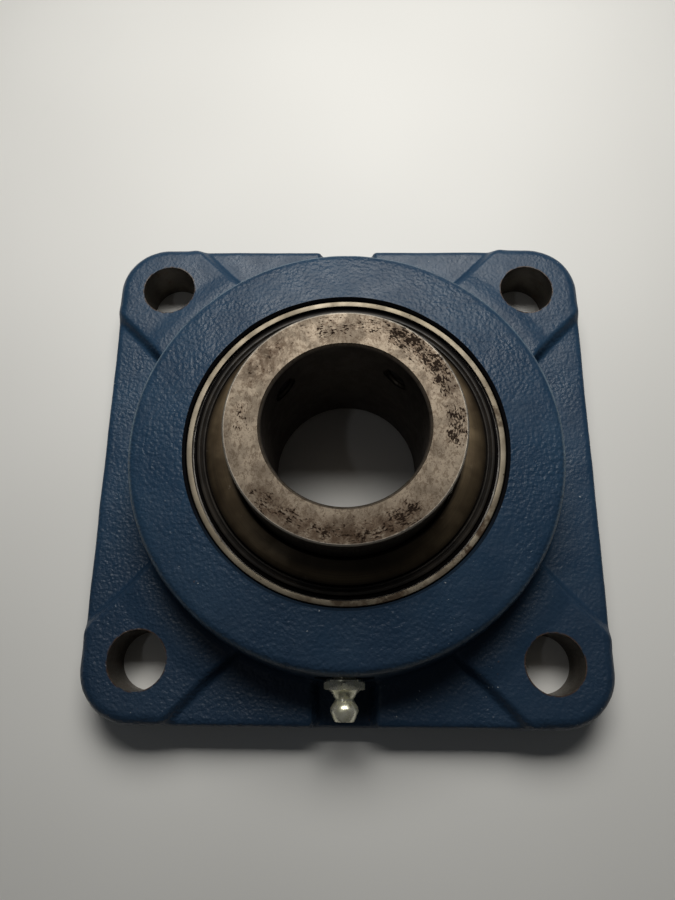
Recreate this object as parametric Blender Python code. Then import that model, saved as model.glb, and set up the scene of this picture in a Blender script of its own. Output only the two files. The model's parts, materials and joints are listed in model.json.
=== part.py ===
"""Square four-bolt flange unit with a self-aligning ball bearing insert.

Origin: where the bearing axis crosses the back (mounting) face of the flange.
+Z runs along the shaft axis and out of the front, and -Y points at the grease nipple.
Every length below is in millimetres, and is turned into metres when a mesh is made.
"""

import math

import bmesh
import bpy
from mathutils import Matrix, Vector

MM = 0.001

# Housing casting
FLANGE_SIDE = 132.0
CORNER_R = 14.0
BOLT_SPACING = 102.0
BOLT_HOLE_R = 7.3
PAD_TOP = 14.0  # the flat lands round the bolt holes
VALLEY_TOP = 11.6  # the lower plate between two lands
TROUGH_FLOOR = 7.5  # the relief in front of the nipple, and its twin on the far side
EDGE_ROUND = 1.8
RIB_HALF_WIDTH = 14.0
RIB_START_R = 67.0  # outside this radius a corner rib is level with its land
RIB_RISE = 6.1  # how far it has climbed where it meets the boss
BOSS_R = 54.2
BOSS_DRAFT = 0.1  # how far the flank leans out per millimetre down
BOSS_INNER_R = 40.2
BOSS_TOP_Z = 29.2  # at the mouth
BOSS_FALL = 0.12  # how far the top falls per millimetre outwards
BOSS_ROUND = 1.8
MOUTH_CHAMFER = 0.6
FOOT_FILLET = 2.0
BACK_RECESS_R = 47.0
BACK_RECESS_DEPTH = 2.5
BACK_BORE_R = 38.8
SEAT_GAP = 0.3

# Bearing insert; every place along the shaft is counted from the ball row
CENTRE_Z = 20.0
OUTER_SPHERE_R = 40.0
OUTER_HALF_WIDTH = 8.5
PITCH_R = 30.0
BALL_COUNT = 9
BALL_R = 5.7  # 12 mm balls, less the clearance that keeps the solids apart
GROOVE_R = 6.2
OUTER_SHOULDER_R = 34.6
SEAL_MOUTH_R = 37.7
SEAL_GROOVE_R = 38.1
LAND_R = 39.0  # outer edge of the ring's flat end faces
SHAFT_R = 19.05  # 1 1/2 inch shaft
BORE_CHAMFER = 0.7
COLLAR_R = 27.8
INNER_SHOULDER_R = 26.6
COLLAR_FACE = 24.0
INNER_REAR = -18.0

# Cage
CAGE_INNER_R = 28.2
CAGE_OUTER_R = 31.8
CAGE_POCKET_R = 5.95
CAGE_SHEET = 0.5
CAGE_HALF_GAP = 0.2
RIVET_SHANK_R = 0.65
RIVET_HOLE_R = 0.95
RIVET_HEAD_R = 1.5
RIVET_HEAD_START = 0.9
RIVET_HEAD_END = 1.5

# Set screws in the collar
SCREW_ANGLES = (50.5, 140.5)
SCREW_PLANE = 14.2
SCREW_R = 3.25
SCREW_HOLE_R = 3.55
SCREW_TIP = 20.3
SCREW_END = 28.0
SCREW_SOCKET_ACROSS_FLATS = 4.0

# Locating pin, which keeps the outer ring from turning in its seat
PIN_ANGLE = 90.0
PIN_R = 1.3
PIN_HOLE_R = 1.6
PIN_INNER_END = 37.3
PIN_OUTER_END = 41.5
PIN_SLOT_HALF_WIDTH = 1.9
PIN_SLOT_DEPTH_R = 41.9
PIN_SLOT_END = CENTRE_Z + 2.3

# Grease path
NIPPLE_ANGLE = -90.0
NIPPLE_Z = 18.0
NIPPLE_SEAT_R = 54.4
NIPPLE_BORE_R = 3.3
SPOT_FACE_R = 7.2
PASSAGE_R = 2.0
LUBE_GROOVE_Z = -2.9
LUBE_GROOVE_HALF_WIDTH = 1.0
LUBE_GROOVE_R = 39.0
LUBE_HOLE_R = 0.8
CHECK_BALL_R = 1.15
CHECK_BALL_PLACE = 61.9

# Facets round a circle
RING_STEPS = 44
SEAL_STEPS = 32
PIN_STEPS = 16


def arc(centre, radius, start_deg, end_deg, steps):
    """Points on an arc, both ends included."""
    found = []
    for i in range(steps + 1):
        angle = math.radians(start_deg + (end_deg - start_deg) * i / steps)
        found.append((centre[0] + radius * math.cos(angle), centre[1] + radius * math.sin(angle)))
    return found


def rounded_square(half, radius, steps=6):
    """Outline of a square with round corners, anticlockwise."""
    corner = half - radius
    points = []
    for quarter in range(4):
        angle = 90 * quarter
        turn = math.radians(angle)
        centre = (
            corner * (math.cos(turn) - math.sin(turn)),
            corner * (math.sin(turn) + math.cos(turn)),
        )
        points += arc(centre, radius, angle, angle + 90, steps)
    return points


def mesh_from(name, bm):
    """Close off a bmesh: merge what coincides, turn the faces outwards and scale to metres."""
    bmesh.ops.remove_doubles(bm, verts=bm.verts, dist=1e-4)
    bmesh.ops.recalc_face_normals(bm, faces=bm.faces)
    bmesh.ops.scale(bm, vec=(MM, MM, MM), verts=bm.verts)
    mesh = bpy.data.meshes.new(name)
    bm.to_mesh(mesh)
    bm.free()
    mesh.shade_smooth()
    mesh.set_sharp_from_angle(angle=math.radians(35))
    return mesh


def turned(name, profile, steps=RING_STEPS):
    """A closed (r, z) outline turned round Z. It may touch the axis."""
    bm = bmesh.new()
    verts = [bm.verts.new((r, 0, z)) for r, z in profile]
    edges = []
    for i, vert in enumerate(verts):
        on_axis = profile[i - 1][0] == 0 and profile[i][0] == 0
        if not on_axis:
            edges.append(bm.edges.new((verts[i - 1], vert)))
    bmesh.ops.spin(
        bm, geom=verts + edges, cent=(0, 0, 0), axis=(0, 0, 1), angle=math.tau, steps=steps, use_merge=True
    )
    return mesh_from(name, bm)


def lofted(name, levels):
    """A solid through outlines of equal point count, given as (outline, z) from low to high."""
    bm = bmesh.new()
    add_loft(bm, levels)
    return mesh_from(name, bm)


def add_loft(bm, levels):
    rings = [[bm.verts.new((x, y, z)) for x, y in outline] for outline, z in levels]
    for low, high in zip(rings, rings[1:]):
        for i in range(len(low)):
            bm.faces.new((low[i - 1], low[i], high[i], high[i - 1]))
    bm.faces.new(rings[0])
    bm.faces.new(rings[-1])


def add_material(name, colour, roughness, metallic):
    material = bpy.data.materials.new(name)
    material.use_nodes = True
    shader = material.node_tree.nodes["Principled BSDF"]
    shader.inputs["Base Color"].default_value = (*colour, 1)
    shader.inputs["Roughness"].default_value = roughness
    shader.inputs["Metallic"].default_value = metallic
    return material


def add_object(name, mesh, material=None, origin=(0, 0, 0)):
    obj = bpy.data.objects.new(name, mesh)
    obj.location = Vector(origin) * MM
    if material and not mesh.materials:
        mesh.materials.append(material)
    bpy.context.scene.collection.objects.link(obj)
    return obj


def stand_radially(obj, angle_deg, z):
    """Put the object's own Z along a radius of the bearing, with its origin on the bearing axis."""
    turn = Matrix.Rotation(math.radians(angle_deg), 4, "Z") @ Matrix.Rotation(math.pi / 2, 4, "Y")
    obj.matrix_world = Matrix.Translation((0, 0, z * MM)) @ turn
    return obj


def combine(target, helper, operation):
    """Apply a helper solid to the target as a Boolean, and keep the helper out of renders."""
    helper.hide_render = True
    helper.display_type = "WIRE"
    modifier = target.modifiers.new(helper.name, "BOOLEAN")
    modifier.operation = operation
    modifier.object = helper


def cut(target, helper):
    combine(target, helper, "DIFFERENCE")


# Housing


def plate_mesh():
    """The square plate at the height of the bolt lands, with a round top edge."""
    side = FLANGE_SIDE / 2
    levels = [(rounded_square(side - 0.5, CORNER_R - 0.5), 0), (rounded_square(side, CORNER_R), 0.5)]
    for i in range(4):
        angle = math.radians(30 * i)
        inset = 0.3 + EDGE_ROUND * (1 - math.cos(angle))
        height = PAD_TOP - EDGE_ROUND * (1 - math.sin(angle))
        levels.append((rounded_square(side - inset, CORNER_R - inset), height))
    return lofted("plate", levels)


def valley_outline(rib_half_width, quarter):
    """The wedge between two diagonal ribs on one side of the plate."""
    tip = rib_half_width * math.sqrt(2)
    reach = FLANGE_SIDE * 0.6
    turn = Matrix.Rotation(math.radians(90 * quarter), 2)
    corners = ((tip, 0), (reach, reach - tip), (reach, tip - reach))
    return [tuple(turn @ Vector(corner)) for corner in corners]


def valley_mesh():
    slopes = ((17.2, 0), (16.3, 0.4), (15.6, 1.7), (15.1, 2.3), (14.5, 2.8))
    bm = bmesh.new()
    for quarter in range(4):
        add_loft(bm, [(valley_outline(width, quarter), VALLEY_TOP + rise) for width, rise in slopes])
    return mesh_from("valleys", bm)


def trough_mesh():
    """The two reliefs cut through the plate's edge, towards the nipple and away from it."""
    near, far = BOSS_R - 4, FLANGE_SIDE / 2 + 5
    slopes = ((6.6, 0), (7.4, 0.8), (8.4, 4.1), (9.4, 7.0))
    bm = bmesh.new()
    for side in (-1, 1):
        levels = []
        for width, rise in slopes:
            corners = [(-width, near), (width, near), (width, far), (-width, far)]
            levels.append(([(x, side * y) for x, y in corners], TROUGH_FLOOR + rise))
        add_loft(bm, levels)
    return mesh_from("troughs", bm)


def ribs_mesh():
    """Four wedges on the diagonals, by which the lands climb to the boss."""
    outline = [(BOSS_R - 6, VALLEY_TOP), (RIB_START_R, VALLEY_TOP), (RIB_START_R, PAD_TOP - 0.3)]
    for i in range(1, 5):
        share = i / 4
        along = RIB_START_R + (BOSS_R - RIB_START_R) * share
        outline.append((along, PAD_TOP + RIB_RISE * share**1.5))
    outline.append((BOSS_R - 6, PAD_TOP + RIB_RISE))
    bm = bmesh.new()
    for quarter in range(4):
        turn = Matrix.Rotation(math.radians(45 + 90 * quarter), 3, "Z")
        sides = []
        for across in (-RIB_HALF_WIDTH, RIB_HALF_WIDTH):
            sides.append([bm.verts.new(turn @ Vector((along, across, z))) for along, z in outline])
        for i in range(len(outline)):
            bm.faces.new((sides[0][i - 1], sides[0][i], sides[1][i], sides[1][i - 1]))
        bm.faces.new(sides[0])
        bm.faces.new(sides[1])
    return mesh_from("ribs", bm)


def boss_mesh():
    """The round boss: a slightly conical top, a round shoulder, a leaning flank and a fillet at its foot."""
    tilt = math.atan(BOSS_FALL)
    cone_end = BOSS_R - BOSS_ROUND * (1 - math.sin(tilt))
    shoulder_z = BOSS_TOP_Z - BOSS_FALL * (cone_end - BOSS_INNER_R) - BOSS_ROUND * math.cos(tilt)
    foot_r = BOSS_R + BOSS_DRAFT * (shoulder_z - PAD_TOP) + FOOT_FILLET
    foot = arc((foot_r, PAD_TOP + FOOT_FILLET - 0.1), FOOT_FILLET, 270, 180, 3)
    shoulder = arc((BOSS_R - BOSS_ROUND, shoulder_z), BOSS_ROUND, 0, 90 - math.degrees(tilt), 4)
    profile = [(0, 3), (foot_r + 1.5, 3), (foot_r + 1.5, VALLEY_TOP - 0.4)]
    return turned("boss", profile + foot + shoulder + [(BOSS_INNER_R, BOSS_TOP_Z), (0, BOSS_TOP_Z)])


def seat_mesh():
    """What is turned out of the casting: back recess, rear opening, spherical seat and front chamfer."""
    seat_r = OUTER_SPHERE_R + SEAT_GAP
    lowest = -math.degrees(math.acos(BACK_BORE_R / seat_r))
    front = math.degrees(math.asin((BOSS_TOP_Z - MOUTH_CHAMFER - CENTRE_Z) / seat_r))
    seat = arc((0, CENTRE_Z), seat_r, lowest, front, 8)
    recess = [
        (0, -1),
        (BACK_RECESS_R, -1),
        (BACK_RECESS_R, BACK_RECESS_DEPTH - 0.5),
        (BACK_RECESS_R - 0.5, BACK_RECESS_DEPTH),
        (BACK_BORE_R + 0.8, BACK_RECESS_DEPTH),
        (BACK_BORE_R, BACK_RECESS_DEPTH + 0.8),
    ]
    mouth_r = BOSS_INNER_R + 0.2
    mouth = [(mouth_r, BOSS_TOP_Z + 0.2), (mouth_r, BOSS_TOP_Z + 2), (0, BOSS_TOP_Z + 2)]
    return turned("seat", recess + seat + mouth)


def loading_slot_mesh():
    """The insert goes in edge on, through two slots in the back, and is then swung round."""
    reach = OUTER_SPHERE_R + 2 * SEAT_GAP
    half_angle = math.degrees(math.asin((OUTER_HALF_WIDTH + 0.5) / reach))
    outline = arc((0, 0), reach, -half_angle, half_angle, 4)
    outline += arc((0, 0), reach, 180 - half_angle, 180 + half_angle, 4)
    return lofted("loading_slots", [(outline, -1), (outline, CENTRE_Z + SEAT_GAP)])


def pin_slot_mesh():
    outline = [(-PIN_SLOT_HALF_WIDTH, -1), (PIN_SLOT_HALF_WIDTH, -1)]
    outline += arc((0, PIN_SLOT_END), PIN_SLOT_HALF_WIDTH, 0, 180, 6)
    near, far = PIN_INNER_END - 2, PIN_SLOT_DEPTH_R
    bm = bmesh.new()
    add_loft(bm, [(outline, near), (outline, far)])
    # The outline was drawn as (x, height), so its last two coordinates change places.
    for vert in bm.verts:
        vert.co = Vector((vert.co.x, vert.co.z, vert.co.y))
    return mesh_from("pin_slot", bm)


def nipple_bore_mesh():
    """Grease passage, tapped bore and spot face in one turned cutter."""
    profile = [
        (0, 37),
        (PASSAGE_R, 37),
        (PASSAGE_R, 45.5),
        (NIPPLE_BORE_R, 46.3),
        (NIPPLE_BORE_R, NIPPLE_SEAT_R),
        (SPOT_FACE_R, NIPPLE_SEAT_R),
        (SPOT_FACE_R, 64),
        (0, 64),
    ]
    return turned("nipple_bore", profile, PIN_STEPS)


def bolt_hole_mesh():
    bm = bmesh.new()
    half = BOLT_SPACING / 2
    for x in (-half, half):
        for y in (-half, half):
            outline = arc((x, y), BOLT_HOLE_R, 0, 360, 24)[:-1]
            add_loft(bm, [(outline, -1), (outline, PAD_TOP + 2)])
    return mesh_from("bolt_holes", bm)


def build_housing():
    paint = add_material("blue_casting", (0.03, 0.09, 0.19), 0.45, 0.0)
    housing = add_object("housing", plate_mesh(), paint)
    cut(housing, add_object("valleys", valley_mesh()))
    cut(housing, add_object("troughs", trough_mesh()))
    combine(housing, add_object("ribs", ribs_mesh()), "UNION")
    combine(housing, add_object("boss", boss_mesh()), "UNION")
    cut(housing, add_object("seat", seat_mesh()))
    cut(housing, add_object("loading_slots", loading_slot_mesh()))
    cut(housing, add_object("pin_slot", pin_slot_mesh()))
    cut(housing, stand_radially(add_object("nipple_bore", nipple_bore_mesh()), NIPPLE_ANGLE, NIPPLE_Z))
    cut(housing, add_object("bolt_holes", bolt_hole_mesh()))


# Rings


def sphere_side():
    """The outer ring's round outside, from its front edge to its back edge, with the grease groove."""
    groove_front = LUBE_GROOVE_Z + LUBE_GROOVE_HALF_WIDTH
    groove_rear = LUBE_GROOVE_Z - LUBE_GROOVE_HALF_WIDTH
    edge = math.degrees(math.asin((OUTER_HALF_WIDTH - 0.4) / OUTER_SPHERE_R))
    front = math.degrees(math.asin(groove_front / OUTER_SPHERE_R))
    rear = math.degrees(math.asin(groove_rear / OUTER_SPHERE_R))
    points = arc((0, 0), OUTER_SPHERE_R, edge, front, 4)
    points += [(LUBE_GROOVE_R, groove_front - 0.2), (LUBE_GROOVE_R, groove_rear + 0.2)]
    return points + arc((0, 0), OUTER_SPHERE_R, rear, -edge, 2)


def seal_side():
    """One end of the outer ring's inside, from the raceway's shoulder out to the end face."""
    return [
        (OUTER_SHOULDER_R, 6.4),
        (SEAL_GROOVE_R, 6.4),
        (SEAL_GROOVE_R, 7.4),
        (SEAL_MOUTH_R, 7.8),
        (SEAL_MOUTH_R, OUTER_HALF_WIDTH),
        (LAND_R, OUTER_HALF_WIDTH),
    ]


def raceway(shoulder_r, side):
    """The ball groove, from its rear shoulder to its front one. Side is 1 outside the balls and -1 inside."""
    reach = math.degrees(math.acos((shoulder_r - PITCH_R) * side / GROOVE_R))
    middle = 0 if side > 0 else 180
    return arc((PITCH_R, 0), GROOVE_R, middle - side * reach, middle + side * reach, 6)


def build_outer_ring():
    steel = add_material("outer_ring_steel", (0.52, 0.47, 0.38), 0.35, 1.0)
    inside = [(r, -z) for r, z in reversed(seal_side())]
    profile = inside + raceway(OUTER_SHOULDER_R, 1) + seal_side() + sphere_side()
    ring = add_object("outer_ring", turned("outer_ring", profile), steel, (0, 0, CENTRE_Z))
    lube_hole = turned("lube_hole", [(0, 33), (LUBE_HOLE_R, 33), (LUBE_HOLE_R, 42), (0, 42)], 8)
    cut(ring, stand_radially(add_object("lube_hole", lube_hole), NIPPLE_ANGLE, CENTRE_Z + LUBE_GROOVE_Z))
    pin_hole = turned("pin_hole", [(0, 37), (PIN_HOLE_R, 37), (PIN_HOLE_R, 42), (0, 42)], PIN_STEPS)
    cut(ring, stand_radially(add_object("pin_hole", pin_hole), PIN_ANGLE, CENTRE_Z))


def build_inner_ring():
    steel = add_material("inner_ring_steel", (0.48, 0.45, 0.40), 0.4, 1.0)
    collar = [
        (INNER_SHOULDER_R, 6.7),
        (COLLAR_R, 7.0),
        (COLLAR_R, COLLAR_FACE - 0.4),
        (COLLAR_R - 0.4, COLLAR_FACE),
        (SHAFT_R + BORE_CHAMFER, COLLAR_FACE),
        (SHAFT_R, COLLAR_FACE - BORE_CHAMFER),
    ]
    rear = [
        (SHAFT_R, INNER_REAR + BORE_CHAMFER),
        (SHAFT_R + BORE_CHAMFER, INNER_REAR),
        (COLLAR_R - 0.5, INNER_REAR),
        (COLLAR_R, INNER_REAR + 0.5),
        (COLLAR_R, -7.0),
        (INNER_SHOULDER_R, -6.7),
    ]
    profile = raceway(INNER_SHOULDER_R, -1) + collar + rear
    ring = add_object("inner_ring", turned("inner_ring", profile), steel, (0, 0, CENTRE_Z))
    for number, angle in enumerate(SCREW_ANGLES, 1):
        tapped = turned("tapped", [(0, 15), (SCREW_HOLE_R, 15), (SCREW_HOLE_R, 31), (0, 31)], PIN_STEPS)
        hole = add_object(f"screw_hole_{number}", tapped)
        cut(ring, stand_radially(hole, angle, CENTRE_Z + SCREW_PLANE))


# Balls and cage


def build_balls():
    steel = add_material("ball_steel", (0.75, 0.75, 0.74), 0.12, 1.0)
    bm = bmesh.new()
    bmesh.ops.create_uvsphere(bm, u_segments=10, v_segments=7, radius=BALL_R)
    mesh = mesh_from("ball", bm)
    for number in range(BALL_COUNT):
        angle = math.tau * number / BALL_COUNT
        place = (PITCH_R * math.cos(angle), PITCH_R * math.sin(angle), CENTRE_Z)
        add_object(f"ball_{number + 1}", mesh, steel, place)


def cage_stations():
    """Angles round the cage, closest together where the sheet wraps round a ball."""
    pitch = 360 / BALL_COUNT
    offsets = (0, 4, 7.5, 10, 11.3, 12.6)
    around = [*offsets, *(pitch - offset for offset in reversed(offsets[1:]))]
    return [ball * pitch + offset for ball in range(BALL_COUNT) for offset in around]


def cage_height(angle_deg, radius, flat):
    """Height of a cage surface: part of a circle round each ball, and flat between two balls."""
    pitch = 360 / BALL_COUNT
    from_ball = (angle_deg + pitch / 2) % pitch - pitch / 2
    along = 2 * PITCH_R * math.sin(math.radians(from_ball) / 2)
    return max(flat, math.sqrt(max(0, radius**2 - along**2)))


def cage_mesh(side):
    bm = bmesh.new()
    rings = []
    for angle in cage_stations():
        inside = side * cage_height(angle, CAGE_POCKET_R, CAGE_HALF_GAP)
        outside = side * cage_height(angle, CAGE_POCKET_R + CAGE_SHEET, CAGE_HALF_GAP + CAGE_SHEET)
        section = [(CAGE_INNER_R, inside), (CAGE_OUTER_R, inside)]
        section += [(CAGE_OUTER_R, outside), (CAGE_INNER_R, outside)]
        turn = math.radians(angle)
        ring = []
        for r, z in section:
            ring.append(bm.verts.new((r * math.cos(turn), r * math.sin(turn), z)))
        rings.append(ring)
    for k, ring in enumerate(rings):
        for i in range(4):
            bm.faces.new((rings[k - 1][i - 1], rings[k - 1][i], ring[i], ring[i - 1]))
    return mesh_from("cage", bm)


def rivet_place(number):
    angle = math.tau * (number + 0.5) / BALL_COUNT
    return (PITCH_R * math.cos(angle), PITCH_R * math.sin(angle), CENTRE_Z)


def rivet_holes_mesh():
    bm = bmesh.new()
    for number in range(BALL_COUNT):
        x, y, _ = rivet_place(number)
        outline = arc((x, y), RIVET_HOLE_R, 0, 360, 8)[:-1]
        add_loft(bm, [(outline, -3), (outline, 3)])
    return mesh_from("rivet_holes", bm)


def build_cage():
    sheet = add_material("cage_steel", (0.50, 0.48, 0.44), 0.35, 1.0)
    holes = add_object("rivet_holes", rivet_holes_mesh(), None, (0, 0, CENTRE_Z))
    for name, side in (("cage_front", 1), ("cage_rear", -1)):
        cut(add_object(name, cage_mesh(side), sheet, (0, 0, CENTRE_Z)), holes)
    half = [
        (RIVET_SHANK_R, RIVET_HEAD_START),
        (RIVET_HEAD_R, RIVET_HEAD_START),
        (RIVET_HEAD_R * 0.6, RIVET_HEAD_END - 0.1),
        (0, RIVET_HEAD_END),
    ]
    profile = [(r, -z) for r, z in reversed(half)] + half
    mesh = turned("rivet", profile, 8)
    for number in range(BALL_COUNT):
        add_object(f"cage_rivet_{number + 1}", mesh, sheet, rivet_place(number))


# Seals and slingers: the rear set mirrors the front one


def facing(profile, side):
    return [(r, side * z) for r, z in profile]


def build_seals():
    plate_steel = add_material("seal_plate_steel", (0.35, 0.34, 0.32), 0.4, 1.0)
    rubber = add_material("seal_rubber", (0.02, 0.018, 0.016), 0.35, 0.0)
    bronze = add_material("slinger_steel", (0.16, 0.12, 0.08), 0.4, 1.0)
    plate = [(30, 6.7), (37.8, 6.7), (37.8, 7.1), (30, 7.1)]
    lip = [
        (28.15, 7.4),
        (37.4, 7.4),
        (37.4, 7.6),
        (36.7, 7.65),
        (36.4, 8.35),
        (35.6, 8.4),
        (35.25, 7.9),
        (28.15, 7.9),
    ]
    slinger = [
        (28.1, 8.3),
        (28.6, 8.3),
        (28.7, 9.5),
        (32.6, 8.9),
        (33.7, 8.3),
        (34.2, 8.3),
        (34.2, 8.7),
        (32.8, 9.4),
        (28.7, 10.2),
        (28.1, 9.9),
    ]
    for end, side in (("front", 1), ("rear", -1)):
        origin = (0, 0, CENTRE_Z)
        for piece, profile, material in (
            ("seal_plate", plate, plate_steel),
            ("seal", lip, rubber),
            ("slinger", slinger, bronze),
        ):
            name = f"{end}_{piece}"
            add_object(name, turned(name, facing(profile, side), SEAL_STEPS), material, origin)


# Small fittings


def build_set_screws():
    steel = add_material("set_screw_steel", (0.05, 0.05, 0.05), 0.4, 1.0)
    profile = [
        (0, SCREW_TIP + 0.7),
        (1.7, SCREW_TIP),
        (2.1, SCREW_TIP),
        (SCREW_R, SCREW_TIP + 1.2),
        (SCREW_R, SCREW_END - 0.4),
        (SCREW_R - 0.4, SCREW_END),
        (0, SCREW_END),
    ]
    corner_r = SCREW_SOCKET_ACROSS_FLATS / math.sqrt(3)
    hexagon = arc((0, 0), corner_r, 0, 360, 6)[:-1]
    for number, angle in enumerate(SCREW_ANGLES, 1):
        screw = add_object(f"set_screw_{number}", turned("set_screw", profile, PIN_STEPS), steel)
        socket = add_object(f"socket_{number}", lofted("socket", [(hexagon, 24.6), (hexagon, 30)]))
        stand_radially(screw, angle, CENTRE_Z + SCREW_PLANE)
        stand_radially(socket, angle, CENTRE_Z + SCREW_PLANE)
        cut(screw, socket)


def build_locating_pin():
    steel = add_material("pin_steel", (0.55, 0.54, 0.52), 0.3, 1.0)
    profile = [
        (0, PIN_INNER_END),
        (PIN_R, PIN_INNER_END),
        (PIN_R, PIN_OUTER_END - 0.3),
        (PIN_R - 0.3, PIN_OUTER_END),
        (0, PIN_OUTER_END),
    ]
    pin = add_object("locating_pin", turned("locating_pin", profile, PIN_STEPS), steel)
    stand_radially(pin, PIN_ANGLE, CENTRE_Z)


def build_grease_nipple():
    zinc = add_material("nipple_zinc", (0.62, 0.60, 0.50), 0.3, 1.0)
    outside = [
        (0, 47),
        (2.6, 47),
        (3.0, 47.5),
        (3.0, 54.75),
        (4.1, 54.75),
        (4.3, 55.7),
        (4.3, 57.0),
        (3.5, 57.6),
        (2.25, 59.2),
        (2.25, 59.7),
        (3.25, 61.2),
        (3.25, 62.2),
        (2.2, 64.3),
        (0, 64.3),
    ]
    nipple = add_object("grease_nipple", turned("grease_nipple", outside, PIN_STEPS), zinc)
    hexagon = arc((0, 0), 9.5 / math.sqrt(3), 0, 360, 6)[:-1]
    nut = add_object("nipple_hexagon", lofted("nipple_hexagon", [(hexagon, 55.4), (hexagon, 57.2)]))
    drilling = [
        (0, 46),
        (0.8, 46),
        (0.8, 48.2),
        (1.4, 48.2),
        (1.4, 62.4),
        (0.75, 63.0),
        (0.75, 65),
        (0, 65),
    ]
    channel = add_object("nipple_channel", turned("nipple_channel", drilling, 12))
    for obj in (nipple, nut, channel):
        stand_radially(obj, NIPPLE_ANGLE, NIPPLE_Z)
    combine(nipple, nut, "UNION")
    cut(nipple, channel)


def build_check_valve():
    """The nipple's ball valve and the spring behind it."""
    steel = add_material("check_ball_steel", (0.7, 0.7, 0.7), 0.15, 1.0)
    wire = add_material("spring_wire", (0.45, 0.45, 0.45), 0.3, 1.0)
    bm = bmesh.new()
    bmesh.ops.create_uvsphere(bm, u_segments=8, v_segments=6, radius=CHECK_BALL_R)
    place = (0, -CHECK_BALL_PLACE, NIPPLE_Z)
    add_object("nipple_check_ball", mesh_from("nipple_check_ball", bm), steel, place)

    curve = bpy.data.curves.new("nipple_spring", "CURVE")
    curve.dimensions = "3D"
    curve.bevel_depth = 0.15 * MM
    curve.bevel_resolution = 0
    curve.use_fill_caps = True
    turns, steps = 6, 8
    inner_end, outer_end = 48.7, 60.4
    line = curve.splines.new("POLY")
    line.points.add(turns * steps)
    for i, point in enumerate(line.points):
        angle = math.tau * i / steps
        along = inner_end + (outer_end - inner_end) * i / (turns * steps)
        point.co = (math.cos(angle) * MM, math.sin(angle) * MM, along * MM, 1)
    curve.materials.append(wire)
    spring = bpy.data.objects.new("nipple_spring", curve)
    bpy.context.scene.collection.objects.link(spring)
    stand_radially(spring, NIPPLE_ANGLE, NIPPLE_Z)


def main():
    for obj in list(bpy.data.objects):
        bpy.data.objects.remove(obj, do_unlink=True)
    build_housing()
    build_outer_ring()
    build_inner_ring()
    build_balls()
    build_cage()
    build_seals()
    build_set_screws()
    build_locating_pin()
    build_grease_nipple()
    build_check_valve()


main()
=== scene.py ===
"""The look of the flange mount bearing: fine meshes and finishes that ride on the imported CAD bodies.

Lengths are in millimetres and become metres when a mesh is made. Z = 0 is the back face of the
flange, the bearing axis is Z, and the grease nipple points along -Y.
"""

import json
import math

import bmesh
import bpy
import numpy as np
from mathutils import Matrix, Vector

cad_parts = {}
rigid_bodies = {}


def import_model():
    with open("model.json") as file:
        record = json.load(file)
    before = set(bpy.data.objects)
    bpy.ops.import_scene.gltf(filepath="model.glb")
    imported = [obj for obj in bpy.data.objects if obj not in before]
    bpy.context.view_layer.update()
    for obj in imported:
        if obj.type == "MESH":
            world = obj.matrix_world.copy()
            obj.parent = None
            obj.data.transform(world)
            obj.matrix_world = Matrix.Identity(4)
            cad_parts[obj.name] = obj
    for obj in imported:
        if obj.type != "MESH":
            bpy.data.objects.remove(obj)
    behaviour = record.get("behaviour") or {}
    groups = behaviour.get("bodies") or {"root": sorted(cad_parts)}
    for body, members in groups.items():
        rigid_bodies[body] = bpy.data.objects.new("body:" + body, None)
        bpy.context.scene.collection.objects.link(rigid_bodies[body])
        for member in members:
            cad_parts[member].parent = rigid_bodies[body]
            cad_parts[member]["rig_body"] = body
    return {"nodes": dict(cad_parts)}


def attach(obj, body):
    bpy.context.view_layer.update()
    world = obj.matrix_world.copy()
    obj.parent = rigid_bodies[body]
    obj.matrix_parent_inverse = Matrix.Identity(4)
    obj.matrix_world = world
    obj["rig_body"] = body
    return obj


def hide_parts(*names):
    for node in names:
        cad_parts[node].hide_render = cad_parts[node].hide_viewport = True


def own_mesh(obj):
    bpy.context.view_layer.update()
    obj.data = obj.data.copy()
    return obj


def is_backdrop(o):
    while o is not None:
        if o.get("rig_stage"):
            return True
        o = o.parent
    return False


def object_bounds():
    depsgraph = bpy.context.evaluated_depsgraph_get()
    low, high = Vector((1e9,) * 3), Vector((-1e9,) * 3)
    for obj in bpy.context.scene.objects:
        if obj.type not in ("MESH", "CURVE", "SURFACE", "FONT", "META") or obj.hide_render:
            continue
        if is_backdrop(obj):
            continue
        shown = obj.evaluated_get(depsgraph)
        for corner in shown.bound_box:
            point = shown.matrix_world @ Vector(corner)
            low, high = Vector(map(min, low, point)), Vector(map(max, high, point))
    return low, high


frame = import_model()
size_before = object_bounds()

MM = 0.001
AXIS_Z = 20.0  # height of the ball row
FINE = 192  # facets round a large turned piece

# Casting
HALF_SIDE = 66.0
PLATE_SHIFT = (0.2, -0.5)  # the mould sits a little off the drilled holes
PLATE_DRAFT = 0.05  # how far the plate's sides lean in per millimetre up
PLATE_EDGE_ROUND = 1.5
LAND_EDGE_ROUND = 3.0
CORNER_R = 14.0
BOLT_PLACE = 51.0
BOLT_HOLE_R = 7.3
PAD_Z = 14.0  # the flat lands round the bolt holes
VALLEY_Z = 11.6  # the lower plate between two lands
LAND_HALF_WIDTH = (14.0, 16.9)  # at its top and at its foot
RIB_START_R = 67.0  # outside this radius a corner rib is level with its land
RIB_RISE = 6.2  # how far a corner rib climbs before it meets the boss
TROUGH_Z = 7.5
TROUGH_HALF_WIDTH = (5.9, 9.9)  # at its floor and at its rim
TROUGH_WALL = 7.2
BOSS_R = 54.2
BOSS_DRAFT = 0.10
BOSS_ROUND = 1.8
BOSS_FALL = 0.12  # slope of the boss front, falling outwards
SHOULDER_Z = 25.9  # height where the boss front turns into the flank
BOSS_FOOT_FILLET = 1.9
BOSS_MOUTH_R = 40.2
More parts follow.
